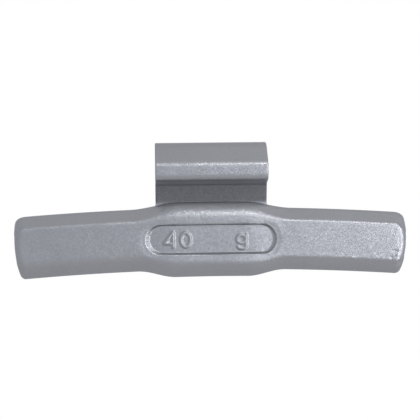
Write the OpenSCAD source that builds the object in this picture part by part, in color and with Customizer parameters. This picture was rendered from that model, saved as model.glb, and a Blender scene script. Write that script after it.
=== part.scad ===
// Clip-on wheel balance weight: a pressed steel bar with a bent spring-steel clip seated in its top edge.
// X runs along the bar, Y points from the viewer to the wheel, Z points up to the clip.
// The origin is on the axis of the bend that sits over the rim's edge, at the middle of the clip.

/* [Bar] */
// Length of the bar along its curved centreline
bar_len = 79.5; // [50:0.5:110]
// Height of the bar's back face, away from the swell
bar_h = 12.7; // [11:0.1:18]
// Thickness of the bar from back face to front face
bar_t = 4.75; // [4.4:0.1:8]
// Radius to which the bar is bent along its length
bend_r = 520; // [200:10:1500]
// Height of the sloped band above the front face
upper_slope_h = 2.5; // [1.5:0.1:3.5]
// Depth of the sloped band above the front face
upper_slope_d = 2.3; // [1.5:0.1:3]
// Height of the sloped band below the front face
lower_slope_h = 2.9; // [1.5:0.1:3.5]
// Depth of the sloped band below the front face
lower_slope_d = 2.7; // [1.5:0.1:3]
// Rounding of the front face's long edges
face_r = 0.8; // [0.3:0.1:1.2]
// Rounding between the sloped bands and the top and bottom edges
land_r = 1.2; // [0.3:0.1:1.5]
// Rounding of the back face's edges
back_r = 0.5; // [0.1:0.1:0.8]

/* [Bar ends] */
// Length over which each end rounds off, seen from the front
end_round_l = 2.1; // [1:0.1:5]
// Height that an end's upper corner loses
end_top_h = 1.8; // [0.5:0.1:2.5]
// Height that an end's lower corner loses
end_bottom_h = 1.1; // [0.5:0.1:2]
// Length over which the front face rounds into the end
end_face_l = 1.0; // [0.5:0.1:2.5]
// Depth that the front face loses at the ends
end_face_d = 0.9; // [0.3:0.1:1.5]
// Radius of the arc in which the front face ends, seen from the front
end_bow_r = 6.5; // [4.5:0.1:20]
// Length of bar over which that arc grows
end_bow_l = 3.2; // [2:0.1:6]

/* [Swell] */
// Distance from the middle at which the swell of face and bottom edge starts
swell_start = 15.3; // [12:0.1:20]
// Distance from the middle within which the swell of face and bottom edge is full
swell_full = 7.5; // [3:0.1:11]
// Distance from the middle at which the top edge's swell starts
swell_top_start = 16.4; // [12:0.1:20]
// Distance from the middle within which the top edge's swell is full
swell_top_full = 6.8; // [3:0.1:11]
// Height that the swell adds to the top edge
swell_top = 1.15; // [0:0.05:2]
// Height that the swell adds to the bottom edge
swell_bottom = 1.4; // [0:0.05:2]
// Depth that the swell adds to the front face
swell_front = 0.3; // [0:0.05:1]
// Rounding that the swell adds to the front face's upper edge
swell_face_r = 2.5; // [0:0.1:3]

/* [Stamped window] */
// Length of the window's floor
window_l = 24.6; // [18:0.1:34]
// Height of the window's floor
window_h = 5.1; // [3:0.05:6]
// Depth of the window below the front face
window_d = 0.6; // [0.2:0.05:1.2]
// Width of the window's sloped wall above and below
window_wall = 0.55; // [0.1:0.05:1]
// Width of the window's sloped wall at its round ends
window_end_wall = 1.15; // [0.3:0.05:2]
// Height of the window's centre above the bar's centreline
window_rise = -0.05; // [-0.6:0.05:0.6]

/* [Clip strip] */
// Width of the strip, along the bar
strip_w = 22.8; // [12:0.1:30]
// Thickness of the strip
strip_t = 1.0; // [0.6:0.05:1.3]
// Depth that the leg of the clip goes into the bar, below the top edge
leg_depth = 7.0; // [4:0.1:9]
// Clearance between the leg and its slot, on each side
slot_gap = 0.05; // [0.02:0.01:0.3]

/* [Clip hook] */
// Radius of the bend that seats over the rim's edge, on its inner face
seat_r = 2.2; // [1.8:0.05:3]
// Distance from the seat axis to the front face of the leg
leg_reach = 0.87; // [0.5:0.01:1.4]
// Angle by which the neck leans forward above the bar
neck_lean = 14; // [2:1:18]
// Distance from the seat axis to the front face of the hook
hook_reach = 5.37; // [4.6:0.01:7]
// Angle of the sloped face of the hook from level
slope_angle = 49; // [42:1:56]
// Angle of the step between neck and hook from level
step_angle = 17; // [5:1:25]
// Height from the step's middle, at the neck, to the seat axis
step_drop = 5.1; // [4.6:0.1:7]
// Radius of the bend where the neck leaves the bar, at mid thickness
root_bend_r = 1.5; // [0.8:0.05:3]
// Radius of the bend between neck and step, at mid thickness
neck_bend_r = 1.1; // [0.8:0.05:1.3]
// Radius of the bend between step and front, at mid thickness
step_bend_r = 1.0; // [0.8:0.05:1.2]
// Radius of the bend between front and slope, at mid thickness
brow_bend_r = 1.5; // [0.8:0.05:2]
// Angle by which the rear leg leans away from the bar
rear_lean = 14; // [6:1:20]
// Length of the straight rear leg
rear_l = 5.0; // [3:0.1:6]
// Radius of the bend at the rear leg's tip, at mid thickness
tip_bend_r = 1.3; // [0.8:0.05:2]
// Angle by which the tip turns away from the bar
tip_angle = 35; // [10:1:60]
// Length of the straight tip
tip_l = 0.8; // [0.3:0.1:2]

/* [Place of the bar] */
// Height from the bar's centreline, at the middle, to the seat axis
bar_drop = 16.55; // [16:0.05:19]
// Distance from the seat axis to the bar's back face
back_reach = 1.6; // [1.4:0.01:2.2]

/* [Hidden] */
$fn = 48;
corner_steps = 5;
wing_pitch = 3.2;
swell_steps = 14;
end_steps = 8;
cut_over = 1;
sheet_t = 0.01;
bend_step = 9;
seat_stock = 0.03;

// The bar's surface: six rounded corners around each section, swept along the bend

// Smooth step from 0 to 1
function smooth(x) =
    let (u = max(0, min(1, x)))
    u * u * (3 - 2 * u);

// Share of the full swell at a distance along the bar
function swell_share(s, start, full) = smooth((start - abs(s)) / (start - full));

// Share of an end's rounding at a distance along the bar, as a quarter of an ellipse
function end_share(s, length) =
    let (u = max(0, min(1, (abs(s) - bar_len / 2 + length) / length)))
    1 - sqrt(1 - u * u);

// Distance by which a point (y, z) near an end is drawn back, so that the front face ends in an arc
function end_bow(s, p) =
    let (
        near = smooth((abs(s) - bar_len / 2 + end_bow_l) / end_bow_l),
        forward = max(0, back_reach - bar_t / 2 - p[0]) / (bar_t / 2)
    )
    sign(s) * near * forward * p[1] * p[1] / (2 * end_bow_r);

// Points of the arc that rounds the corner p between its neighbours a and b
function rounded(a, p, b, r) =
    let (
        to_a = (a - p) / norm(a - p),
        to_b = (b - p) / norm(b - p),
        half = acos(to_a * to_b) / 2,
        bisector = (to_a + to_b) / norm(to_a + to_b),
        centre = p + bisector * r / sin(half),
        start = atan2(-bisector[1], -bisector[0]),
        turn = 90 - half,
        side = (to_a[0] * to_b[1] - to_a[1] * to_b[0]) > 0 ? -1 : 1
    )
    [for (i = [0 : corner_steps])
        let (angle = start + side * turn * (2 * i / corner_steps - 1))
        centre + r * [cos(angle), sin(angle)]];

// The section's six corners and their radii, as [[y, z], r], from the back's lower edge round over the top
function section_corners(s) =
    let (
        full = swell_share(s, swell_start, swell_full),
        top_full = swell_share(s, swell_top_start, swell_top_full),
        end = end_share(s, end_round_l),
        front = back_reach - bar_t - swell_front * full + end_face_d * end_share(s, end_face_l),
        top = bar_h / 2 + swell_top * top_full - end_top_h * end,
        bottom = -bar_h / 2 - swell_bottom * full + end_bottom_h * end
    )
    [
        [[back_reach, bottom], back_r],
        [[back_reach, top], back_r],
        [[front + upper_slope_d, top], land_r],
        [[front, top - upper_slope_h], face_r + swell_face_r * full],
        [[front, bottom + lower_slope_h], face_r],
        [[front + lower_slope_d, bottom], land_r]
    ];

function section(s) =
    let (c = section_corners(s), n = len(c))
    [for (i = [0 : n - 1])
        each rounded(c[(i + n - 1) % n][0], c[i][0], c[(i + 1) % n][0], c[i][1])];

// A point (y, z) of a section set square to the bent centreline
function on_bend(s, p) =
    let (angle = s / bend_r * 180 / PI)
    [(bend_r + p[1]) * sin(angle), p[0], (bend_r + p[1]) * cos(angle) - bend_r - bar_drop];

// One ring of the bar's surface
function ring_at(s) = [for (p = section(s)) on_bend(s - end_bow(s, p), p)];

// Stations along one half of the bar: close over the swell's shoulder and the rounded end, wide between
shoulder_from = min(swell_full, swell_top_full);
shoulder_to = max(swell_start, swell_top_start);
shoulder_at = [for (i = [0 : swell_steps])
    shoulder_from + (shoulder_to - shoulder_from) * i / swell_steps];
round_l = max(end_round_l, end_face_l, end_bow_l);
end_at = [for (i = [0 : end_steps]) bar_len / 2 - round_l * (1 - sin(90 * i / end_steps))];
wing_l = end_at[0] - shoulder_to;
wing_count = max(1, ceil(wing_l / wing_pitch));
wing_at = [for (i = [1 : wing_count - 1]) shoulder_to + wing_l * i / wing_count];
half_at = concat([shoulder_from / 2], shoulder_at, wing_at, end_at);
half_n = len(half_at);
stations = concat(
    [for (i = [half_n - 1 : -1 : 0]) -half_at[i]],
    [0],
    half_at
);

// The point in which the flat of an end's surface meets: the mean of the end's ring
function end_middle(ring) = [for (axis = [0 : 2]) [for (p = ring) p[axis]] * [for (p = ring) 1 / len(ring)]];

module bar() {
    rings = [for (s = stations) ring_at(s)];
    count = len(rings);
    around = len(rings[0]);
    sides = [for (i = [0 : count - 2]) for (j = [0 : around - 1])
        let (
            here = i * around + j,
            next = i * around + (j + 1) % around
        )
        each [[here, next, next + around], [here, next + around, here + around]]
    ];
    last_ring = (count - 1) * around;
    middles = [end_middle(rings[0]), end_middle(rings[count - 1])];
    first_cap = [for (j = [0 : around - 1]) [(j + 1) % around, j, count * around]];
    last_cap = [for (j = [0 : around - 1])
        [last_ring + j, last_ring + (j + 1) % around, count * around + 1]];
    polyhedron(
        concat([for (ring = rings) each ring], middles),
        concat(sides, first_cap, last_cap)
    );
}

// The stamp's form: a stadium with sloped walls, from the window's floor out past the front face
module window_cut() {
    floor_y = back_reach - bar_t - swell_front + window_d;
    past_floor = 1 + cut_over / window_d;
    floor_reach = (window_l - window_h) / 2;
    over_r = window_h / 2 + window_wall * past_floor;
    over_reach = window_l / 2 + window_end_wall * past_floor - over_r;
    translate([0, floor_y, window_rise - bar_drop])
        rotate([90, 0, 0])
            hull()
                for (side = [-1, 1]) {
                    translate([side * floor_reach, 0, 0])
                        cylinder(h = sheet_t, r = window_h / 2);
                    translate([side * over_reach, 0, window_d + cut_over - sheet_t])
                        cylinder(h = sheet_t, r = over_r);
                }
}

// The slot that takes the clip's leg
leg_bottom = bar_h / 2 - leg_depth - bar_drop;
bar_top = bar_h / 2 + swell_top - bar_drop;
module leg_slot() {
    slot_w = strip_w + 2 * slot_gap;
    slot_t = strip_t + 2 * slot_gap;
    translate([-slot_w / 2, -leg_reach - slot_gap, leg_bottom - slot_gap])
        cube([slot_w, slot_t, bar_top + cut_over - leg_bottom + slot_gap]);
}

module weight_body() {
    color([0.58, 0.60, 0.64])
        difference() {
            bar();
            window_cut();
            leg_slot();
        }
}

// The clip: a flat strip bent at six places. Its centreline is a chain of corners, each with its bend radius

leg_y = -leg_reach + strip_t / 2;
front_y = -hook_reach + strip_t / 2;
seat_bend_r = seat_r - seat_stock + strip_t / 2;
step_z = -step_drop;

// The bend where the neck leaves the bar starts at the bar's top edge, so the leg in the slot is straight
root_z = bar_top + root_bend_r * tan(neck_lean / 2);
neck_y = leg_y - (step_z - root_z) * tan(neck_lean);

// Corner at the foot of the sloped face, whose line touches the seat bend
brow_z = (seat_bend_r + sin(slope_angle) * front_y) / cos(slope_angle);

// Corner where the lines of the sloped face and the rear leg would meet, above the seat bend
seat_turn = 90 + slope_angle - rear_lean;
peak_angle = (90 + slope_angle + rear_lean) / 2;
peak = seat_bend_r / cos(seat_turn / 2) * [cos(peak_angle), sin(peak_angle)];

// Corner at the rear leg's tip, and the end of the strip
rear_start = seat_bend_r * [cos(rear_lean), sin(rear_lean)];
rear_way = [sin(rear_lean), -cos(rear_lean)];
tip_way = [sin(rear_lean + tip_angle), -cos(rear_lean + tip_angle)];
tip_reach = tip_bend_r * tan(tip_angle / 2);
tip_corner = rear_start + (rear_l + tip_reach) * rear_way;

corners = [
    [[leg_y, leg_bottom], 0],
    [[leg_y, root_z], root_bend_r],
    [[neck_y, step_z], neck_bend_r],
    [[front_y, step_z + (neck_y - front_y) * tan(step_angle)], step_bend_r],
    [[front_y, brow_z], brow_bend_r],
    [peak, seat_bend_r],
    [tip_corner, tip_bend_r],
    [tip_corner + (tip_reach + tip_l) * tip_way, 0]
];
last = len(corners) - 1;

// Way from one corner to the next, as a unit vector
function way(i) =
    let (v = corners[i + 1][0] - corners[i][0])
    v / norm(v);

// Angle by which the strip turns at a corner, positive to the left
function turn(i) =
    i == 0 || i == last ? 0 :
    let (a = way(i - 1), b = way(i))
    atan2(a[0] * b[1] - a[1] * b[0], a * b);

// Length of straight line that a bend takes from each side of its corner
function taken(i) = corners[i][1] * tan(abs(turn(i)) / 2);

// Points of the bend at corner i on a line that runs the given distance to the left of the centreline
function bend_points(i, left) =
    let (
        side = sign(turn(i)),
        a = way(i - 1),
        centre = corners[i][0] - taken(i) * a + side * corners[i][1] * [-a[1], a[0]],
        from_angle = atan2(a[1], a[0]) - side * 90,
        steps = ceil(abs(turn(i)) / bend_step)
    )
    [for (k = [0 : steps])
        let (angle = from_angle + turn(i) * k / steps)
        centre + (corners[i][1] - side * left) * [cos(angle), sin(angle)]];

// One face of the strip from end to end, at the given distance to the left of the centreline
function strip_face(left) =
    let (
        a = way(0),
        b = way(last - 1)
    )
    concat(
        [corners[0][0] + left * [-a[1], a[0]]],
        [for (i = [1 : last - 1]) each bend_points(i, left)],
        [corners[last][0] + left * [-b[1], b[0]]]
    );

module strip() {
    right_face = strip_face(-strip_t / 2);
    count = len(right_face);
    turned_back = [for (i = [count - 1 : -1 : 0]) right_face[i]];
    rotate([90, 0, 90])
        translate([0, 0, -strip_w / 2])
            linear_extrude(strip_w)
                polygon(concat(strip_face(strip_t / 2), turned_back));
}

module spring_clip() {
    color([0.56, 0.58, 0.61])
        difference() {
            strip();
            rotate([0, 90, 0])
                cylinder(h = strip_w + 2 * cut_over, r = seat_r, center = true);
        }
}

weight_body();
spring_clip();
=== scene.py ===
import math

import bmesh
import bpy
import numpy as np
from mathutils import Matrix, Vector


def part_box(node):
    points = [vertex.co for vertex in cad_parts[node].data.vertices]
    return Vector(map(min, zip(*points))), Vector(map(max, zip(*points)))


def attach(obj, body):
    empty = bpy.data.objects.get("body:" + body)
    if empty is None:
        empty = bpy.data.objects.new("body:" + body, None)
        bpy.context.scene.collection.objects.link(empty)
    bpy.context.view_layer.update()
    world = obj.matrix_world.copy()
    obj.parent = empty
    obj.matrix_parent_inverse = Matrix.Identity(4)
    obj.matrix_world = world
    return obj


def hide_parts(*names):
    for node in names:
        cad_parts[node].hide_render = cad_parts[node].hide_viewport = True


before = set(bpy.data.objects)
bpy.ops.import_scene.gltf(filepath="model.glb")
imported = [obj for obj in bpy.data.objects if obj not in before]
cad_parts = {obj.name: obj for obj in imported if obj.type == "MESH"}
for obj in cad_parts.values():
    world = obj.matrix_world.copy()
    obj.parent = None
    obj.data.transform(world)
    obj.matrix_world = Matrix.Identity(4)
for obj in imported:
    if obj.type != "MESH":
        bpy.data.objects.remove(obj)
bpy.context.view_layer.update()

mm = 0.001  # sizes below are in millimetres, meshes are in metres
print("frame loaded")


# General tools for surfaces

def smoothStep(u):
    # 3u² - 2u³ between 0 and 1, flat outside
    u = np.clip(u, 0, 1)
    return u * u * (3 - 2 * u)


def roundedRamp(u, share):
    # Straight ramp from 0 to 1 whose two ends are rounded by parabolas, each over the given share of the
    # middle run
    def bend(t):
        return np.where(t < -share, 0, np.where(t > share, t, (t + share) ** 2 / (4 * share)))
    t = np.clip(u, 0, 1) * (1 + 2 * share) - share
    return bend(t) - bend(t - 1)


def spread(stops, steps):
    # Values that run from stop to stop, each stretch cut into its own number of equal steps
    runs = [np.linspace(a, b, n, endpoint=False) for a, b, n in zip(stops, stops[1:], steps)]
    return np.concatenate([*runs, stops[-1:]])


def blob(x, z, spot):
    # A round hill exp(-d²) around a spot, where d is the distance in units of the spot's two radii
    dx = (x - spot["at"][0]) / spot["size"][0]
    dz = (z - spot["at"][1]) / spot["size"][1]
    lean = math.radians(spot.get("lean", 0))
    along = dx * math.cos(lean) + dz * math.sin(lean)
    across = dz * math.cos(lean) - dx * math.sin(lean)
    return spot["height"] * np.exp(-along**2 - across**2)


def ripple(x, z, waves):
    # Sum of plane sine waves: each has a length, a direction in degrees, a phase and a height
    total = np.zeros(np.broadcast(x, z).shape)
    for length, direction, phase, height in waves:
        way = math.radians(direction)
        total += height * np.sin((x * math.cos(way) + z * math.sin(way)) * 2 * math.pi / length + phase)
    return total


meshFinish = dict(mergeWithin=1e-7, sharpFrom=55)  # metres, degrees


def makeMesh(name, points, faces):
    # Puts points in millimetres and quads into a mesh object, merges what meets, and shades it smooth
    mesh = bpy.data.meshes.new(name)
    mesh.from_pydata((points * mm).tolist(), [], faces.tolist())
    form = bmesh.new()
    form.from_mesh(mesh)
    bmesh.ops.remove_doubles(form, verts=form.verts, dist=meshFinish["mergeWithin"])
    form.to_mesh(mesh)
    form.free()
    mesh.shade_smooth()
    mesh.set_sharp_from_angle(angle=math.radians(meshFinish["sharpFrom"]))
    piece = bpy.data.objects.new(name, mesh)
    bpy.context.scene.collection.objects.link(piece)
    return piece


def tubeFaces(rings, around):
    # Quads between neighbouring rings of a closed tube, first ring to last
    ring, here = np.meshgrid(np.arange(rings - 1), np.arange(around), indexing="ij")
    there = (here + 1) % around
    first = ring * around
    second = first + around
    return np.stack([first + here, first + there, second + there, second + here], -1).reshape(-1, 4)


# Weight body: six rounded corners around each section, swept along the bend

bodyShape = dict(
    length=79.8, height=12.7, thickness=4.75,  # along the bend, up the back face, back to front
    bendRadius=520, drop=16.55, backReach=1.6,
    upperSlope=(2.5, 2.3), lowerSlope=(2.9, 2.7),  # height and depth of the sloped bands
    upperRadius=1.2, landRadius=1.2, backRadius=0.5,
    lowerRadius=(3.0, 1.0),  # at the left, at the right
    lowerBulge=(0.32, 0.3), bulgeRadius=7,  # how far the lower band's middle stands out, its curve there
    swellStart=15.3, swellFull=7.5, swellTopStart=16.4, swellTopFull=6.8,  # distances from the middle
    swellTop=1.15, swellBottom=1.4, swellFront=0.3,
    swellSoft=3.7, swellLand=0.6,  # what the swell adds to the upper radius and to the land's
    swellSteep=0.5,  # what it takes from the upper slope's depth
)
bodyEnds = dict(
    top=((2.2, 1.25), (2.3, 1.5)),  # corner length and height at the left end, then at the right end
    bottom=((1.2, 1.35), (1.4, 1.0)),
    faceLength=(1.3, 1.6), faceDepth=0.9,  # where the front face rounds into each end
    bow=90,  # radius of each end's outline, seen from the front
    faceBow=(12.0, 8.5),  # radii of the further bend of the front face's edge, at the left and the right
    bowFrom=0.68,  # share of the thickness from which that bend grows
    bowLength=3.2,  # length over which both bends grow
    edgeRadius=0.08,
)
bodyGrid = dict(
    along=[14, 36.4],  # half lengths of the fine middle and of the plain wings
    alongSteps=[280, 44, 26],  # steps over the whole middle, over each wing and over each end
    arc=7, back=10, land=6, band=9,
    faceStops=[0, 0.075, 0.16, 0.745, 0.865, 1], faceSteps=[3, 18, 40, 20, 5],  # close at the window's walls
    topBack=[0.9, 0.7, 0.5, 0.38, 0.29, 0.22, 0.17],  # depths behind the clip's leg
    topFront=[0.02, 0.05, 0.09, 0.14, 0.2, 0.28, 0.37, 0.47, 0.58, 0.7, 0.85, 1],  # shares of the way on
    topFrontStop=0.25,  # how far short of the upper radius that way ends
    capTurn=6, capFlat=5,  # points round an end's edge, steps over its flat
)
legSeat = dict(
    halfWidth=11.4, front=-0.87, back=0.13,  # where the clip's leg enters
    gap=0.05, bottom=-17.2, filletRadius=0.3,  # the slot round the leg, and the coat that climbs its foot
    beside=(0, 0, 0.03, 0.08), clear=(0.04, 0.07),  # own stations there, and where plain ones make room
)
lastStation = bodyShape["length"] / 2 - bodyEnds["edgeRadius"]


def swellShare(s, edge=""):
    # Smooth step from the swell's start to where it is full, by distance from the middle
    start, full = bodyShape[f"swell{edge}Start"], bodyShape[f"swell{edge}Full"]
    return smoothStep((start - np.abs(s)) / (start - full))


def endShare(s, reach):
    # Quarter of an ellipse, 1 - sqrt(1 - u²), where u grows from 0 to 1 over the last reach of the bar
    left, right = reach
    length = np.where(s < 0, left, right)
    u = np.clip((np.abs(s) - lastStation + length) / length, 0, 1)
    return 1 - np.sqrt(1 - u * u)


def sectionCorners(s):
    # The six corners (y, z) of the section at each distance s, from the back's lower edge round over the
    # top: plain sizes plus the swell's share of what it adds, less the ends' quarter ellipses
    b, e = bodyShape, bodyEnds
    full, fullTop = swellShare(s), swellShare(s, "Top")
    side = (s > 0).astype(int)
    topReach, topDrop = np.array(e["top"]).T
    bottomReach, bottomRise = np.array(e["bottom"]).T
    topLoss = topDrop[side] * endShare(s, topReach)
    bottomLoss = bottomRise[side] * endShare(s, bottomReach)
    front = b["backReach"] - b["thickness"] - b["swellFront"] * full
    front = front + e["faceDepth"] * endShare(s, e["faceLength"])
    top = b["height"] / 2 + b["swellTop"] * fullTop - topLoss
    bottom = -b["height"] / 2 - b["swellBottom"] * full + bottomLoss
    upperDepth = b["upperSlope"][1] - b["swellSteep"] * full
    back = np.full_like(s, b["backReach"])
    corners = [
        (back, bottom), (back, top), (front + upperDepth, top), (front, top - b["upperSlope"][0]),
        (front, bottom + b["lowerSlope"][0]), (front + b["lowerSlope"][1], bottom),
    ]
    return np.array([np.stack(c, -1) for c in corners])


def roundedCorner(before, corner, after, radius, steps):
    # Arc that touches both sides of a corner: slerp between its two touching points around its centre
    toBefore = (before - corner) / np.linalg.norm(before - corner, axis=-1, keepdims=True)
    toAfter = (after - corner) / np.linalg.norm(after - corner, axis=-1, keepdims=True)
    half = np.arccos(np.clip((toBefore * toAfter).sum(-1), -1, 1))[:, None] / 2
    middle = toBefore + toAfter
    middle /= np.linalg.norm(middle, axis=-1, keepdims=True)
    centre = corner + middle * radius / np.sin(half)
    start = corner + toBefore * radius / np.tan(half) - centre
    end = corner + toAfter * radius / np.tan(half) - centre
    turn = math.pi - 2 * half[None]
    t = np.linspace(0, 1, steps)[:, None, None]
    return centre + (np.sin((1 - t) * turn) * start + np.sin(t * turn) * end) / np.sin(turn)


def straight(a, b, shares):
    # Points between a and b at the given shares of the way
    t = np.asarray(shares)[:, None, None]
    return a * (1 - t) + b * t


def topHeight(corners, y, radius):
    # Height of the top at depth y: level land, then an arc of the land radius, then the upper band's slope
    depth, height = (corners[2] - corners[3]).T
    slope = np.arctan2(height, depth)
    landEnd = corners[2][:, 0] + radius * np.tan(slope / 2)
    past = np.clip(landEnd - y, 0, radius * np.sin(slope))
    arc = radius - np.sqrt(radius**2 - past**2)
    straightPart = np.maximum(landEnd - radius * np.sin(slope) - y, 0) * height / depth
    return corners[2][:, 1] - arc - straightPart


def lowerBand(corners, s, arcSteps):
    # The lower band bulges: an arc round a raised middle corner, with the arcs at its two edges set to it
    b = bodyShape
    along = corners[5] - corners[4]
    outward = np.stack([along[:, 1], -along[:, 0]], -1) / np.linalg.norm(along, axis=-1, keepdims=True)
    toRight = smoothStep((s + b["swellStart"]) / (2 * b["swellStart"]))[:, None]
    radius = b["lowerRadius"][0] * (1 - toRight) + b["lowerRadius"][1] * toRight
    bulge = b["lowerBulge"][0] * (1 - toRight) + b["lowerBulge"][1] * toRight
    middle = (corners[4] + corners[5]) / 2 + outward * bulge
    high = roundedCorner(corners[3], corners[4], middle, radius, arcSteps)
    crest = roundedCorner(corners[4], middle, corners[5], b["bulgeRadius"], bodyGrid["band"])
    low = roundedCorner(middle, corners[5], corners[0], b["landRadius"], arcSteps)
    return high, crest, low


def bodySections(s):
    # Rows of the body's surface round each section, as (row, station, 2), with the name of each row's run
    b, g = bodyShape, bodyGrid
    corners = sectionCorners(s)
    full = swellShare(s)
    radii = {0: b["backRadius"], 1: b["backRadius"], 3: (b["upperRadius"] + b["swellSoft"] * full)[:, None]}
    arc = {}
    for i, radius in radii.items():
        arc[i] = roundedCorner(corners[i - 1], corners[i], corners[i + 1], radius, g["arc"])
    faceLow, crest, landLow = lowerBand(corners, s, g["arc"])
    seat = legSeat
    seatRows = np.linspace(seat["back"], seat["front"], 4)  # one lip, the slot's two walls, the other lip
    backRows = np.repeat([*g["topBack"], *seatRows], len(s)).reshape(-1, len(s))
    reach = arc[3][0, :, 0] + g["topFrontStop"] - seat["front"]
    frontRows = seat["front"] + np.array(g["topFront"])[:, None] * reach
    topDepths = np.concatenate([backRows, frontRows])
    top = np.stack([topDepths, topHeight(corners, topDepths, b["landRadius"] + b["swellLand"] * full)], -1)
    face = spread(g["faceStops"], g["faceSteps"])
    shares = np.linspace(0, 1, g["band"] + 1)[1:-1]
    runs = dict(
        backLow=arc[0], back=straight(arc[0][-1], arc[1][0], np.linspace(0, 1, g["back"] + 1)[1:-1]),
        backHigh=arc[1], top=top,
        upperBand=straight(top[-1], arc[3][0], shares),
        faceHigh=arc[3], face=straight(arc[3][-1], faceLow[0], face[1:-1]), faceLow=faceLow,
        lowerBand=np.concatenate([
            straight(faceLow[-1], crest[0], shares[::2]), crest, straight(crest[-1], landLow[0], shares[::2]),
        ]),
        landLow=landLow, land=straight(landLow[-1], arc[0][0], np.linspace(0, 1, g["land"] + 1)[1:-1]),
    )
    names = np.repeat(list(runs), [len(run) for run in runs.values()])
    return np.concatenate(list(runs.values())), names


# The stamped window and what stands in it, as depth over the front face

windowShape = dict(
    centre=(-0.27, -16.435),  # x and z
    floorLength=24.6, floorHeight=5.43,
    rimLength=26.9, rimHeight=6.3, rimDrop=0.185,  # the rim lies a little below the floor's middle
    depth=0.6, edgeShare=(0.15, 0.12),  # what of the wall is rounding at the left end, and elsewhere
    rightCurve=2.2,  # power by which the right end's wall curves up to a steep rim
    dish=0.11, dishReach=1.3,  # how the face sinks towards the rim
)
reliefShape = dict(
    height=0.27, flat=0.06, foot=0.55, edgeShare=0.25,  # half widths of a stroke's top and of its foot
    lean=0.08,  # share by which a stroke's right side is steeper and its left side softer
)


def stadium(x, z, length, height):
    # Signed distance to a stadium around the origin, negative inside
    reach = (length - height) / 2
    return np.hypot(np.maximum(np.abs(x) - reach, 0), z) - height / 2


def windowDepth(x, z):
    # Depth falls from the rim to the floor as a rounded ramp of the share of the way between the two
    # stadiums, and at the right end of a power of that share. Round the rim a smooth step dishes the face
    w = windowShape
    x, z = x - w["centre"][0], z - w["centre"][1]
    pastFloor = np.maximum(stadium(x, z, w["floorLength"], w["floorHeight"]), 0)
    toRim = np.maximum(-stadium(x, z + w["rimDrop"], w["rimLength"], w["rimHeight"]), 0)
    share = pastFloor / np.maximum(pastFloor + toRim, 1e-9)
    endFrom = (w["floorLength"] - w["floorHeight"]) / 2
    share = share ** (1 + (w["rightCurve"] - 1) * smoothStep((x - endFrom) / w["floorHeight"] * 2))
    leftEdge, otherEdge = w["edgeShare"]
    edge = otherEdge + (leftEdge - otherEdge) * smoothStep((-x - endFrom) / w["floorHeight"] * 2)
    outside = np.maximum(stadium(x, z + w["rimDrop"], w["rimLength"], w["rimHeight"]), 0)
    dish = w["dish"] * (1 - smoothStep(outside / w["dishReach"]))
    return w["depth"] * (1 - roundedRamp(share, edge)), dish


def strokeDistance(x, z, path):
    # Distance to a chain of straight strokes, the least over its segments of the length of the way there plus
    # the lean times its part to the right
    best = np.full(x.shape, 1e9)
    for (ax, az), (bx, bz) in zip(path, path[1:]):
        dx, dz = bx - ax, bz - az
        t = np.clip(((x - ax) * dx + (z - az) * dz) / (dx * dx + dz * dz), 0, 1)
        right = x - ax - t * dx
        best = np.minimum(best, np.hypot(right, z - az - t * dz) + reliefShape["lean"] * right)
    return best


def ovalPath(centre, size, start, end, steps=40):
    # Points on an oval from one angle to another, in degrees
    a = np.radians(np.linspace(start, end, steps))
    return [(centre[0] + size[0] * math.cos(t), centre[1] + size[1] * math.sin(t)) for t in a]


figures = dict(
    four=[[(-8.0, -15.15), (-9.65, -17.3), (-7.9, -17.4)], [(-7.95, -15.2), (-7.9, -18.0)]],
    zero=[ovalPath((-5.36, -16.6), (0.95, 1.42), 0, 360)],
    gram=[
        ovalPath((6.0, -16.6), (0.9, 0.8), 0, 360),
        [(6.95, -15.75), (6.95, -17.85)],
        ovalPath((6.05, -17.85), (0.9, 0.65), 0, -150, 24),
    ],
)


def reliefHeight(x, z):
    # A stroke is full height over its flat top and falls as a rounded ramp to its foot
    r = reliefShape
    nearest = np.full(x.shape, 1e9)
    for path in (p for paths in figures.values() for p in paths):
        nearest = np.minimum(nearest, strokeDistance(x, z, path))
    return r["height"] * (1 - roundedRamp((nearest - r["flat"]) / (r["foot"] - r["flat"]), r["edgeShare"]))


# Marks of making and wear on the front, in place (x, z) and size, height towards the viewer

frontMarks = [
    dict(at=(-20.6, -20.3), size=(0.42, 0.28), height=0.16, lean=20),
    dict(at=(-21.3, -21.2), size=(0.26, 0.3), height=0.12),
    dict(at=(-33.7, -19.8), size=(0.2, 0.2), height=0.05),
    dict(at=(-4.9, -12.2), size=(0.2, 0.1), height=-0.07),
    dict(at=(-2.4, -12.2), size=(0.26, 0.12), height=-0.09),
    dict(at=(28.6, -20.7), size=(0.22, 0.2), height=0.12),
    dict(at=(37.5, -19.5), size=(0.5, 0.22), height=-0.13, lean=-40),
    dict(at=(37.9, -20.3), size=(0.24, 0.3), height=0.1),
    dict(at=(36.6, -20.8), size=(0.28, 0.3), height=-0.1),
    dict(at=(38.3, -16.6), size=(0.3, 1.6), height=-0.05),
]
frontFade = 1.1  # depth behind the front face over which marks and waves die away
coatWaves = [  # length, direction in degrees, phase and height of each
    (31.0, 12, 0.4, 0.02),
    (17.0, 70, 2.1, 0.012),
    (9.5, -35, 4.0, 0.007),
    (5.1, 25, 1.3, 0.004),
    (3.3, 110, 5.2, 0.0025),
]


def onBend(s, section):
    # A section's (y, z) set square to the bent centreline: the point turns by s over the bend's radius
    b = bodyShape
    angle = s / b["bendRadius"]
    reach = b["bendRadius"] + section[..., 1]
    x = reach * np.sin(angle)
    z = reach * np.cos(angle) - b["bendRadius"] - b["drop"]
    return np.stack([x, section[..., 0], z], -1)


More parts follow.
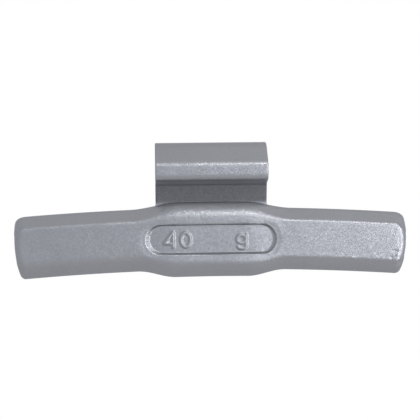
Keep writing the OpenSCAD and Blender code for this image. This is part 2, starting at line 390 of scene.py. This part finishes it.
def bowedEnds(s, section):
    # Near an end the outline is an arc, and the front face's edge a closer one: a point draws back by
    # z² / 2 times the bow's curvature, which grows towards the front face
    b, e = bodyShape, bodyEnds
    forward = (b["backReach"] - section[..., 0]) / b["thickness"]
    depth = smoothStep((forward - e["bowFrom"]) / (1 - e["bowFrom"]))
    near = smoothStep((np.abs(s) - lastStation + e["bowLength"]) / e["bowLength"])
    curve = 1 / e["bow"] + depth / np.where(s < 0, *e["faceBow"])
    return s - np.sign(s) * near * curve * section[..., 1] ** 2 / 2


def bodyStations():
    # Distances along the bar: even steps over the middle and the wings, a quarter sine at the ends, and
    # doubled where the clip's leg enters
    g, b = bodyGrid, bodyShape
    middle, wing = g["along"]
    middleSteps, wingSteps, endSteps = g["alongSteps"]
    half = spread([middle, wing], [wingSteps])[1:]
    tip = wing + (lastStation - wing) * np.sin(np.linspace(0, math.pi / 2, endSteps + 1))[1:]
    outer = np.concatenate([half, tip])
    inner = np.linspace(-middle, middle, middleSteps + 1)
    seatEnd = legSeat["halfWidth"] / (1 + (b["height"] / 2 + b["swellTop"] / 2) / b["bendRadius"])
    near = seatEnd + np.array(legSeat["beside"])
    offset, reach = legSeat["clear"]
    inner = inner[np.abs(np.abs(inner) - seatEnd - offset) > reach]
    return np.sort(np.concatenate([-outer, inner, outer, near, -near])), seatEnd


def seatLeg(points, names, s, seatEnd):
    # The coat climbs the foot of the clip as a hollow quarter round of its distance from the leg, and between
    # the doubled stations the seat rows drop to the slot's bottom
    seat, r = legSeat, legSeat["filletRadius"]
    top = np.flatnonzero(names == "top")
    x, y = points[top, :, 0], points[top, :, 1]
    besideX = np.maximum(np.abs(x) - seat["halfWidth"], 0)
    besideY = np.maximum(np.maximum(seat["front"] - y, y - seat["back"]), 0)
    near = r - np.minimum(np.hypot(besideX, besideY), r)
    points[top, :, 2] += r - np.sqrt(r**2 - near**2)
    first = top[0] + len(bodyGrid["topBack"])
    edges = np.flatnonzero(np.isclose(np.abs(s), seatEnd))
    inside = np.arange(edges[1], edges[2] + 1)
    for row, depth in ((first + 1, seat["back"] + seat["gap"]), (first + 2, seat["front"] - seat["gap"])):
        points[row, inside, 1] = depth
        points[row, inside, 2] = seat["bottom"] - seat["gap"]
        points[row, inside[[0, -1]], 0] = np.array([-1, 1]) * (seat["halfWidth"] + seat["gap"])


def bodyPoints():
    # Stations by rows, with the window, the figures and the marks pressed into the front rows
    s, seatEnd = bodyStations()
    section, names = bodySections(s)
    points = onBend(bowedEnds(s, section), section)
    seatLeg(points, names, s, seatEnd)
    x, z = points[..., 0], points[..., 2]
    depth, dish = windowDepth(x, z)
    shift = depth + dish - np.where(depth > windowShape["depth"] / 2, reliefHeight(x, z), 0)
    shift -= sum(blob(x, z, mark) for mark in frontMarks) + ripple(x, z, coatWaves)
    forward = bodyShape["backReach"] - bodyShape["thickness"] + frontFade - points[..., 1]
    points[..., 1] += shift * smoothStep(forward / frontFade)
    return points.transpose(1, 0, 2)


def cappedTube(points, edge, turnPoints, flatSteps):
    # Closes both ends: rings turn a quarter round about an edge, then shrink over the flat end to its middle
    rings = [points]
    for side in (0, -1):
        ring = points[side]
        centre = (ring.max(0) + ring.min(0)) / 2
        inward = ring - centre
        inward /= np.linalg.norm(inward, axis=-1, keepdims=True)
        out = np.array([math.copysign(edge, centre[0]), 0, 0])
        turn = np.linspace(0, math.pi / 2, turnPoints)[1:, None, None]
        rim = ring - inward * edge * (1 - np.cos(turn)) + out * np.sin(turn)
        flat = rim[-1] + (centre + out - rim[-1]) * np.linspace(0, 1, flatSteps + 1)[1:, None, None]
        cap = np.concatenate([rim, flat])
        rings = [cap[::-1], *rings] if side == 0 else [*rings, cap]
    return np.concatenate(rings)


def makeBody():
    # The rows round each station make a tube, whose two ends are closed
    tube = cappedTube(bodyPoints(), bodyEnds["edgeRadius"], bodyGrid["capTurn"], bodyGrid["capFlat"])
    return makeMesh("weightBody", tube.reshape(-1, 3), tubeFaces(*tube.shape[:2]))


weightBody = makeBody()
print("weight body made:", len(weightBody.data.polygons), "faces")


# Spring clip: a rounded strip section carried along a centreline of straights and arcs

clipShape = dict(
    width=22.8, thickness=1.0, edgeRadius=0.22,
    legBottom=-17.2, seatRadius=2.2, seatStock=0.03,
    legReach=0.87, neckLean=14, hookReach=5.37, slopeAngle=49, stepAngle=17, stepDrop=5.1,
    rootBend=1.5, neckBend=1.1, stepBend=1.0, browBend=1.5,
    rearLean=14, rearLength=5.0, tipBend=1.3, tipAngle=35, tipLength=0.8,
)
clipGrid = dict(
    turnStep=4, straightStep=0.35, leastTurn=4, leastStraight=2,  # degrees, millimetres, and the least counts
    tipPoints=6, acrossSteps=66, edgeSteps=4,
    capTurn=5, capFlat=[0.5, 1],  # points round an end's edge, shares of the way over its flat
)


def way(angle):
    # Unit vector at an angle in degrees
    return np.array([math.cos(math.radians(angle)), math.sin(math.radians(angle))])


def clipCorners():
    # Corners (y, z) of the centreline with their bend radii, from the leg in the bar to the rear tip
    c, b = clipShape, bodyShape
    half = c["thickness"] / 2
    leg = half - c["legReach"]
    barTop = b["height"] / 2 + b["swellTop"] - b["drop"]
    neckLean = math.radians(c["neckLean"])
    root = barTop + c["rootBend"] * math.tan(neckLean / 2)
    neck = leg - (-c["stepDrop"] - root) * math.tan(neckLean)
    front = half - c["hookReach"]
    seat = c["seatRadius"] - c["seatStock"] + half
    slope, lean = math.radians(c["slopeAngle"]), math.radians(c["rearLean"])
    brow = (seat + math.sin(slope) * front) / math.cos(slope)
    turn = 90 + c["slopeAngle"] - c["rearLean"]
    peak = seat / math.cos(math.radians(turn / 2)) * way((90 + c["slopeAngle"] + c["rearLean"]) / 2)
    rearWay = np.array([math.sin(lean), -math.cos(lean)])
    tip = lean + math.radians(c["tipAngle"])
    tipWay = np.array([math.sin(tip), -math.cos(tip)])
    reach = c["tipBend"] * math.tan(math.radians(c["tipAngle"] / 2))
    tipCorner = seat * way(c["rearLean"]) + (c["rearLength"] + reach) * rearWay
    stepRise = (neck - front) * math.tan(math.radians(c["stepAngle"]))
    return [
        (np.array([leg, c["legBottom"]]), 0),
        (np.array([leg, root]), c["rootBend"]),
        (np.array([neck, -c["stepDrop"]]), c["neckBend"]),
        (np.array([front, stepRise - c["stepDrop"]]), c["stepBend"]),
        (np.array([front, brow]), c["browBend"]),
        (peak, seat),
        (tipCorner, c["tipBend"]),
        (tipCorner + (reach + c["tipLength"]) * tipWay, 0),
    ]


def clipCentreline():
    # Points and ways along the centreline: straights between arcs, each arc touching both its straights
    g = clipGrid
    corners = clipCorners()
    points, ways = [], []
    start = corners[0][0]
    for (a, _), (b, radius), (c, _) in zip(corners, corners[1:], corners[2:]):
        u, v = (b - a) / np.linalg.norm(b - a), (c - b) / np.linalg.norm(c - b)
        turn = math.atan2(u[0] * v[1] - u[1] * v[0], u @ v)
        taken = radius * math.tan(abs(turn) / 2)
        end = b - taken * u
        count = max(g["leastStraight"], int(np.linalg.norm(end - start) / g["straightStep"]))
        shares = np.linspace(0, 1, count, endpoint=False)[:, None]
        points.append(start + (end - start) * shares)
        ways.append(np.repeat(u[None], count, 0))
        side = math.copysign(1, turn)
        normal = side * np.array([-u[1], u[0]])
        centre = end + radius * normal
        turnCount = max(g["leastTurn"], int(abs(math.degrees(turn)) / g["turnStep"]))
        arc = np.linspace(0, turn, turnCount, endpoint=False)[:, None]
        points.append(centre - radius * (normal * np.cos(arc) - u * np.sin(np.abs(arc))))
        ways.append(u * np.cos(arc) + np.array([-u[1], u[0]]) * np.sin(arc))
        start = b + taken * v
    last = corners[-1][0]
    shares = np.linspace(0, 1, g["tipPoints"])[:, None]
    points.append(start + (last - start) * shares)
    ways.append(np.repeat(v[None], len(shares), 0))
    return np.concatenate(points), np.concatenate(ways)


def stripSection():
    # Rounded rectangle (x, offset to the left of the way), corners as quarter circles
    c, g = clipShape, clipGrid
    wide, half, r = c["width"] / 2, c["thickness"] / 2, c["edgeRadius"]
    quarter = np.linspace(0, math.pi / 2, g["edgeSteps"] + 1)
    run = np.linspace(-(wide - r), wide - r, g["acrossSteps"] + 1)[1:-1]

    def corner(x, y, start):
        return np.stack([x + r * np.cos(quarter + start), y + r * np.sin(quarter + start)], -1)

    sides = [
        corner(wide - r, half - r, 0),
        np.stack([run[::-1], np.full_like(run, half)], -1),
        corner(r - wide, half - r, math.pi / 2),
        corner(r - wide, r - half, math.pi),
        np.stack([run, np.full_like(run, -half)], -1),
        corner(wide - r, r - half, 1.5 * math.pi),
    ]
    return np.concatenate(sides)


def makeClip():
    # Each section point is put at the centreline point plus its offset along the left normal, none of it
    # nearer to the seat's axis than the seat radius. A quarter round and a flat close each end
    c, g = clipShape, clipGrid
    line, ways = clipCentreline()
    section = stripSection()
    left = np.stack([-ways[:, 1], ways[:, 0]], -1)
    yz = line[:, None] + left[:, None] * section[None, :, 1:]
    x = np.broadcast_to(section[:, 0], yz.shape[:2])
    reach = np.linalg.norm(yz, axis=-1, keepdims=True)
    yz = np.where(reach < c["seatRadius"], yz * c["seatRadius"] / np.maximum(reach, 1e-9), yz)
    points = np.concatenate([x[..., None], yz], -1)
    rings = [points]
    r = c["edgeRadius"]
    toUnit = 1 / (np.array([c["width"], c["thickness"], c["thickness"]]) / 2)
    for side, out in ((0, -ways[0]), (-1, ways[-1])):
        ring = points[side]
        centre = ring.mean(0)
        inward = (ring - centre) * toUnit
        ahead = np.array([0, *out])
        turn = np.linspace(0, math.pi / 2, g["capTurn"])[1:, None, None]
        rim = ring - inward * r * (1 - np.cos(turn)) + ahead * r * (np.sin(turn) - 1)
        flat = rim[-1] + (centre - rim[-1]) * np.array(g["capFlat"])[:, None, None]
        cap = np.concatenate([rim, flat])
        ring += ahead * -r
        rings = [cap[::-1], *rings] if side == 0 else [*rings, cap]
    tube = np.concatenate(rings)
    count, around = tube.shape[:2]
    return makeMesh("springClip", tube.reshape(-1, 3), tubeFaces(count, around)[:, ::-1])


springClip = makeClip()
print("spring clip made:", len(springClip.data.polygons), "faces")


# The coat over both pieces

coatLook = dict(
    light=(0.276, 0.284, 0.309), dark=(0.248, 0.256, 0.281),
    edge=(0.7, 0.7, 0.72), metallic=0.9, roughness=0.42, coatWeight=0.25, coatRoughness=0.16,
    cloudScale=140, cloudDetail=4, flakeScale=4800, flakeTilt=0.14, flakeGloss=0.1,
    peelScale=900, peelDetail=3, peelStrength=0.25, peelDepth=0.00004,  # depth in metres
)
# Painted shade: the base colour darkens inside an oval round the neck, where the hook shades it
hookShadePaint = dict(
    colour=(0.152, 0.156, 0.175),  # painted shade under the hook, standing in for the shadow the hook casts on the neck
    centre=(0, -0.9, -6.9), size=(60, 1.6, 2.6),  # half sizes
    fade=(0.75, 1.1),  # where it fades, in those
)
dryCoat = dict(
    centre=(0, -2.6, -7), size=(60, 2.9, 3.4), fade=(0.7, 1.1),
    roughness=0.35,  # what dry spray adds there
)


def farFrom(tree, place, shape):
    # 0 within an oval body and 1 outside it: smooth step of the distance from its centre in its half sizes
    nodes, links = tree.nodes, tree.links
    away = nodes.new("ShaderNodeVectorMath")
    away.operation = "MULTIPLY_ADD"
    away.inputs[1].default_value = [1 / (half * mm) for half in shape["size"]]
    away.inputs[2].default_value = [-at / half for at, half in zip(shape["centre"], shape["size"])]
    links.new(place.outputs["Object"], away.inputs[0])
    reach = nodes.new("ShaderNodeVectorMath")
    reach.operation = "LENGTH"
    links.new(away.outputs["Vector"], reach.inputs[0])
    far = nodes.new("ShaderNodeMapRange")
    far.interpolation_type = "SMOOTHSTEP"
    far.inputs["From Min"].default_value = shape["fade"][0]
    far.inputs["From Max"].default_value = shape["fade"][1]
    links.new(reach.outputs["Value"], far.inputs["Value"])
    return far.outputs["Result"]


def makeCoat():
    # Metallic paint: cloudy colour, darkened under the hook by painted shade and rougher where it is dry,
    # with flakes as
    # Voronoi cells that each lean and shine their own way, under a clear layer with a fine orange peel
    look = coatLook
    material = bpy.data.materials.new("silverCoat")
    material.use_nodes = True
    nodes, links = material.node_tree.nodes, material.node_tree.links
    shader = nodes["Principled BSDF"]
    shader.inputs["Metallic"].default_value = look["metallic"]
    shader.inputs["Specular Tint"].default_value = (*look["edge"], 1)
    shader.inputs["Coat Weight"].default_value = look["coatWeight"]
    shader.inputs["Coat Roughness"].default_value = look["coatRoughness"]
    place = nodes.new("ShaderNodeTexCoord")

    cloud = nodes.new("ShaderNodeTexNoise")
    cloud.inputs["Scale"].default_value = look["cloudScale"]
    cloud.inputs["Detail"].default_value = look["cloudDetail"]
    links.new(place.outputs["Object"], cloud.inputs["Vector"])
    tone = nodes.new("ShaderNodeMix")
    tone.data_type = "RGBA"
    tone.inputs["A"].default_value = (*look["dark"], 1)
    tone.inputs["B"].default_value = (*look["light"], 1)
    links.new(cloud.outputs["Fac"], tone.inputs["Factor"])

    # Painted shade: inside the oval under the hook the base colour is mixed towards the darker shade colour
    paintedShadeMix = nodes.new("ShaderNodeMix")
    paintedShadeMix.data_type = "RGBA"
    paintedShadeMix.inputs["A"].default_value = (*hookShadePaint["colour"], 1)
    links.new(farFrom(material.node_tree, place, hookShadePaint), paintedShadeMix.inputs["Factor"])
    links.new(tone.outputs["Result"], paintedShadeMix.inputs["B"])
    links.new(paintedShadeMix.outputs["Result"], shader.inputs["Base Color"])

    flake = nodes.new("ShaderNodeTexVoronoi")
    flake.inputs["Scale"].default_value = look["flakeScale"]
    links.new(place.outputs["Object"], flake.inputs["Vector"])
    gloss = nodes.new("ShaderNodeMapRange")
    gloss.inputs["To Min"].default_value = look["roughness"] + dryCoat["roughness"] - look["flakeGloss"]
    gloss.inputs["To Max"].default_value = look["roughness"] + dryCoat["roughness"] + look["flakeGloss"]
    links.new(flake.outputs["Color"], gloss.inputs["Value"])
    dry = nodes.new("ShaderNodeMath")
    dry.operation = "MULTIPLY_ADD"
    dry.inputs[1].default_value = -dryCoat["roughness"]
    links.new(farFrom(material.node_tree, place, dryCoat), dry.inputs[0])
    links.new(gloss.outputs["Result"], dry.inputs[2])
    links.new(dry.outputs["Value"], shader.inputs["Roughness"])

    peel = nodes.new("ShaderNodeTexNoise")
    peel.inputs["Scale"].default_value = look["peelScale"]
    peel.inputs["Detail"].default_value = look["peelDetail"]
    links.new(place.outputs["Object"], peel.inputs["Vector"])
    peelBump = nodes.new("ShaderNodeBump")
    peelBump.inputs["Strength"].default_value = look["peelStrength"]
    peelBump.inputs["Distance"].default_value = look["peelDepth"]
    links.new(peel.outputs["Fac"], peelBump.inputs["Height"])
    lean = nodes.new("ShaderNodeVectorMath")  # each flake leans its own way: normal + tilt × (colour - 0.5)
    lean.operation = "MULTIPLY_ADD"
    tilt = look["flakeTilt"]
    lean.inputs[1].default_value = (tilt, tilt, tilt)
    links.new(flake.outputs["Color"], lean.inputs[0])
    level = nodes.new("ShaderNodeVectorMath")
    level.operation = "SUBTRACT"
    level.inputs[1].default_value = (tilt / 2, tilt / 2, tilt / 2)
    links.new(peelBump.outputs["Normal"], level.inputs[0])
    links.new(level.outputs["Vector"], lean.inputs[2])
    links.new(lean.outputs["Vector"], shader.inputs["Normal"])
    links.new(peelBump.outputs["Normal"], shader.inputs["Coat Normal"])
    return material


silverCoat = makeCoat()
for piece, node in ((weightBody, "weight_body"), (springClip, "spring_clip")):
    piece.data.materials.append(silverCoat)
    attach(piece, "root")
    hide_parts(node)
print("coat on both pieces")


# Floor, light and camera

studio = dict(
    floorDrop=420, floorSize=4000, floorColour=0.8, floorRoughness=0.9,
    worldLevel=0.18,
    frontSeen=(0.97, 1.0, 1.06), topSeen=(0.97, 0.97, 0.95),  # what the coat mirrors in front and from above
    lampAim=(0, 0, -12),
    lamps=[
        dict(name="keyLamp", place=(90, -330, 290), size=(170, 80), power=0.46, colour=(1.0, 0.99, 0.97)),
        dict(name="sideLamp", place=(180, -430, 15), size=(90, 90), power=0.3, colour=(1.0, 0.99, 0.98)),
        dict(name="edgeLamp", place=(310, -300, -16), size=(45, 640), power=1.3, colour=(1.0, 1.0, 1.0)),
    ],
)


def paleSurface(tree, kind, lit, mirrored=None):
    # White to the camera, the mirrored colour or white in reflections, and as lit to all other rays
    nodes, links = tree.nodes, tree.links
    path = nodes.new("ShaderNodeLightPath")
    glossy = nodes.new("ShaderNodeMath")
    glossy.operation = "MAXIMUM"
    links.new(path.outputs["Is Glossy Ray"], glossy.inputs[0])
    links.new(path.outputs["Is Transmission Ray"], glossy.inputs[1])
    shown = lit
    for seen, colour in ((glossy.outputs["Value"], mirrored), (path.outputs["Is Camera Ray"], None)):
        pale = nodes.new(kind)
        pale.inputs["Color"].default_value = (1, 1, 1, 1)
        if colour:
            links.new(colour, pale.inputs["Color"])
        mix = nodes.new("ShaderNodeMixShader")
        links.new(seen, mix.inputs["Fac"])
        links.new(shown, mix.inputs[1])
        links.new(pale.outputs[0], mix.inputs[2])
        shown = mix.outputs["Shader"]
    return shown


def mirroredSky(tree):
    # Runs from the front colour at the horizon to the top colour overhead, by the height of the direction
    nodes, links = tree.nodes, tree.links
    direction = nodes.new("ShaderNodeTexCoord")
    parts = nodes.new("ShaderNodeSeparateXYZ")
    links.new(direction.outputs["Generated"], parts.inputs["Vector"])
    mix = nodes.new("ShaderNodeMix")
    mix.data_type = "RGBA"
    mix.inputs["A"].default_value = (*studio["frontSeen"], 1)
    mix.inputs["B"].default_value = (*studio["topSeen"], 1)
    links.new(parts.outputs["Z"], mix.inputs["Factor"])
    return mix.outputs["Result"]


def setWorld():
    # White to the camera, the mirrored sky in reflections, and a low even light to the rest
    scene = bpy.context.scene
    scene.world = bpy.data.worlds.new("studioWorld")
    scene.world.use_nodes = True
    tree = scene.world.node_tree
    sky = tree.nodes["Background"]
    sky.inputs["Color"].default_value = (1, 1, 1, 1)
    sky.inputs["Strength"].default_value = studio["worldLevel"]
    shown = paleSurface(tree, "ShaderNodeBackground", sky.outputs[0], mirroredSky(tree))
    tree.links.new(shown, tree.nodes["World Output"].inputs["Surface"])


def makeFloor():
    # A square below the bar, white to the camera and in reflections
    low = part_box("weight_body")[0].z - studio["floorDrop"] * mm
    half = studio["floorSize"] * mm / 2
    corners = [(-half, -half, low), (half, -half, low), (half, half, low), (-half, half, low)]
    mesh = bpy.data.meshes.new("floor")
    mesh.from_pydata(corners, [], [(0, 1, 2, 3)])
    floor = bpy.data.objects.new("floor", mesh)
    bpy.context.scene.collection.objects.link(floor)
    paint = bpy.data.materials.new("floorPaint")
    paint.use_nodes = True
    tree = paint.node_tree
    matt = tree.nodes["Principled BSDF"]
    matt.inputs["Base Color"].default_value = (studio["floorColour"],) * 3 + (1,)
    matt.inputs["Roughness"].default_value = studio["floorRoughness"]
    shown = paleSurface(tree, "ShaderNodeEmission", matt.outputs[0])
    tree.links.new(shown, tree.nodes["Material Output"].inputs["Surface"])
    mesh.materials.append(paint)


def makeLamps():
    # Soft rectangles that all look at the part
    for lamp in studio["lamps"]:
        light = bpy.data.lights.new(lamp["name"], "AREA")
        light.shape = "RECTANGLE"
        light.size = lamp["size"][0] * mm
        light.size_y = lamp["size"][1] * mm
        light.energy = lamp["power"]
        light.color = lamp["colour"]
        holder = bpy.data.objects.new(lamp["name"], light)
        place = Vector(lamp["place"]) * mm
        aim = Vector(studio["lampAim"]) * mm
        holder.location = place
        holder.rotation_euler = (aim - place).to_track_quat("-Z", "Y").to_euler()
        bpy.context.scene.collection.objects.link(holder)


cameraView = dict(
    focusLength=89.95, target=(0.0, 1.83, -12.0), distance=217.55, nearest=10,
    yaw=2.95, rise=1.5, roll=0.712, aimRight=-0.147, aimUp=1.275,  # degrees, then millimetres
)


def makeCamera():
    # The camera stands off from the target by yaw and rise, aims beside it and then rolls
    v = cameraView
    yaw, rise = math.radians(v["yaw"]), math.radians(v["rise"])
    back = Vector((-math.sin(yaw) * math.cos(rise), -math.cos(yaw) * math.cos(rise), math.sin(rise)))
    right = Vector((math.cos(yaw), -math.sin(yaw), 0))
    up = right.cross(-back)
    place = Vector(v["target"]) + v["distance"] * back
    aim = Vector(v["target"]) + v["aimRight"] * right + v["aimUp"] * up
    turn = (aim - place).to_track_quat("-Z", "Y").to_matrix()
    turn = turn @ Matrix.Rotation(math.radians(-v["roll"]), 3, "Z")
    camera = bpy.data.objects.new("camera", bpy.data.cameras.new("camera"))
    camera.data.lens = v["focusLength"]
    camera.data.clip_start = v["nearest"] * mm
    camera.matrix_world = Matrix.Translation(place * mm) @ turn.to_4x4()
    bpy.context.scene.collection.objects.link(camera)
    bpy.context.scene.camera = camera


setWorld()
makeFloor()
makeLamps()
makeCamera()
bpy.context.scene.view_settings.view_transform = "Standard"
print("studio ready")
